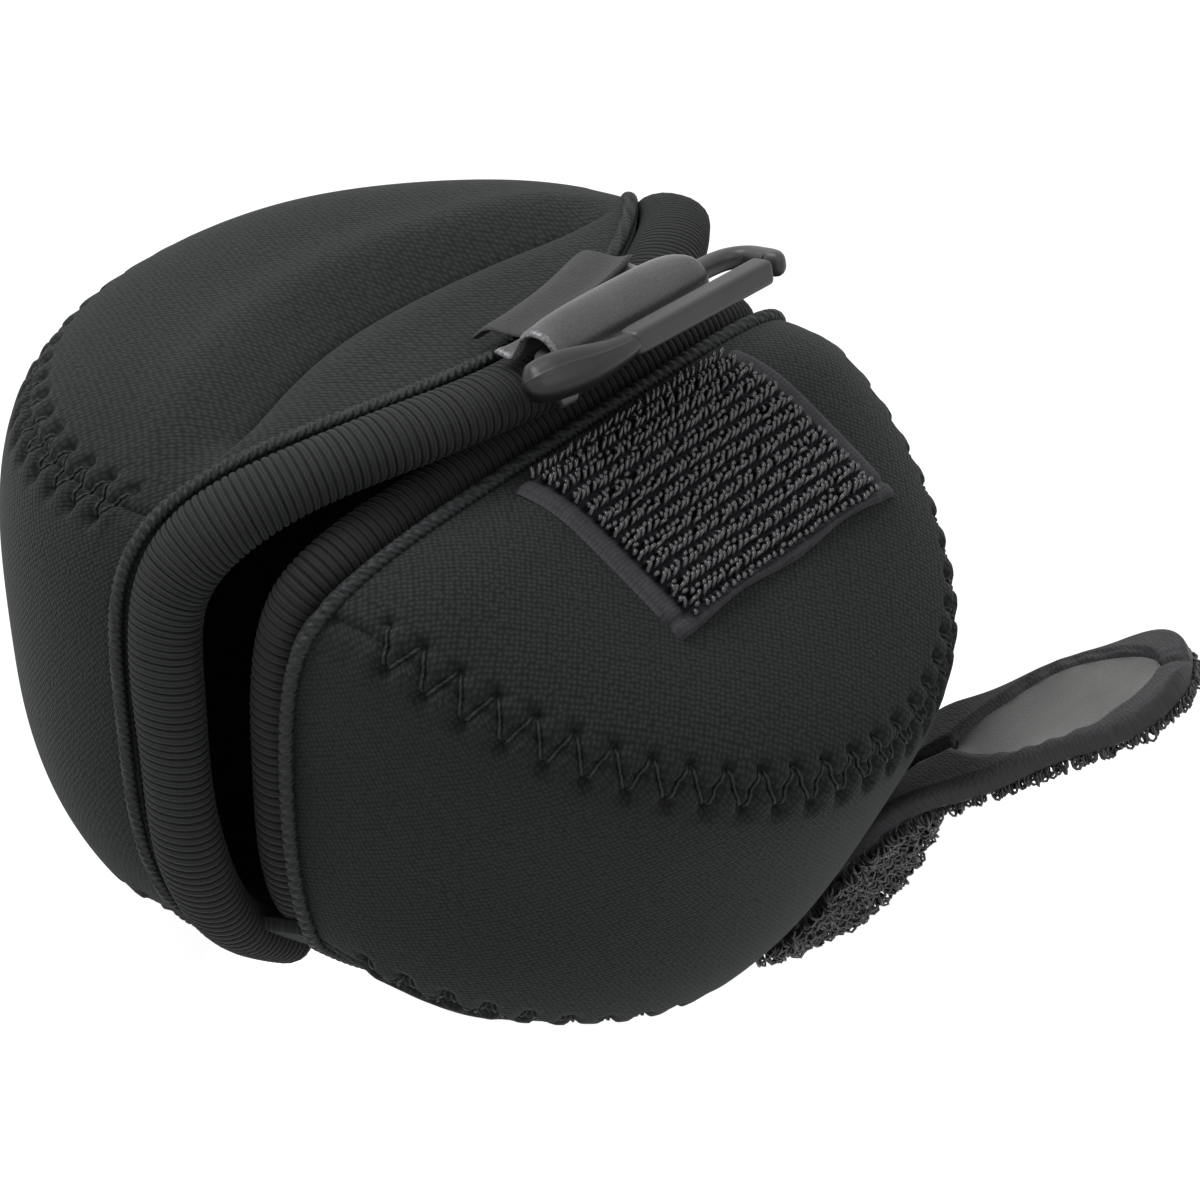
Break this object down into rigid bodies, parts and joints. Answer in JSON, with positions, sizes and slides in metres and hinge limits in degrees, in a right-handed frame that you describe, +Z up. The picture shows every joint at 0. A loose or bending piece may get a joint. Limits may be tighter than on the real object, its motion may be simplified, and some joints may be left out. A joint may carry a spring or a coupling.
{
  "type": "lens pouch",
  "caption": "Round black neoprene lens pouch with ribbed mouth bindings, zigzag seams, a hook tape patch, a loop-lined strap and a gated clip on a leatherette tab.",
  "frame": {"origin": "centre of the bounding box in plan, at the lowest point of the base", "axes": "+Z up; +X along the mouth; +Y away from the strap, from the front lobe to the rear lobe"},
  "size_m": [0.0848, 0.11, 0.0715],
  "materials": {
    "neoprene": "knit-faced neoprene, matt",
    "rib_knit": "ribbed elastic knit",
    "thread": "polyester sewing thread",
    "hook_tape": "nylon hook tape",
    "loop_tape": "unnapped nylon loop tape",
    "leatherette": "satin synthetic leather",
    "clip_plastic": "moulded, satin"
  },
  "bodies": {
    "rear_half": {"rear_base_panel": "neoprene", "rear_side_panel": "neoprene", "rear_top_panel": "neoprene", "rear_lip_binding": "rib_knit", "rear_lip_seam": "rib_knit", "rear_top_stitching": "thread", "rear_base_stitching": "thread", "clip_tab": "leatherette", "tab_anchor_tape": "rib_knit"},
    "front_half": {"front_base_panel": "neoprene", "front_side_panel": "neoprene", "front_top_panel": "neoprene", "front_lip_binding": "rib_knit", "front_lip_seam": "rib_knit", "front_top_stitching": "thread", "front_base_stitching": "thread", "hook_patch": "hook_tape"},
    "strap": {"strap_band": "neoprene", "strap_loop_tape": "loop_tape", "strap_grip_patch": "leatherette"},
    "clip": {"clip_body": "clip_plastic"},
    "gate": {"clip_gate": "clip_plastic"}
  },
  "joints": [
    {"name": "mouth_open", "type": "hinge", "parent": "rear_half", "child": "front_half", "pos_m": [0, 0.01103, 0], "axis": [1, 0, 0], "range_deg": [0, 40]},
    {"name": "strap_swing", "type": "hinge", "parent": "front_half", "child": "strap", "pos_m": [0.01046, -0.01961, 0.00282], "axis": [0.8751, 0.484, 0], "range_deg": [0, 30]},
    {"name": "clip_swing", "type": "hinge", "parent": "rear_half", "child": "clip", "pos_m": [0.0053, -0.00487, 0.06815], "axis": [0.9986, -0.0523, -0.0105], "range_deg": [-60, 35]},
    {"name": "gate_open", "type": "hinge", "parent": "clip", "child": "gate", "pos_m": [-0.00255, -0.00975, 0.06935], "axis": [0.0211, 0.2071, 0.9781], "range_deg": [0, 5], "stiffness_Nm_per_rad": 0.0006, "springref_deg": -8.59}
  ]
}
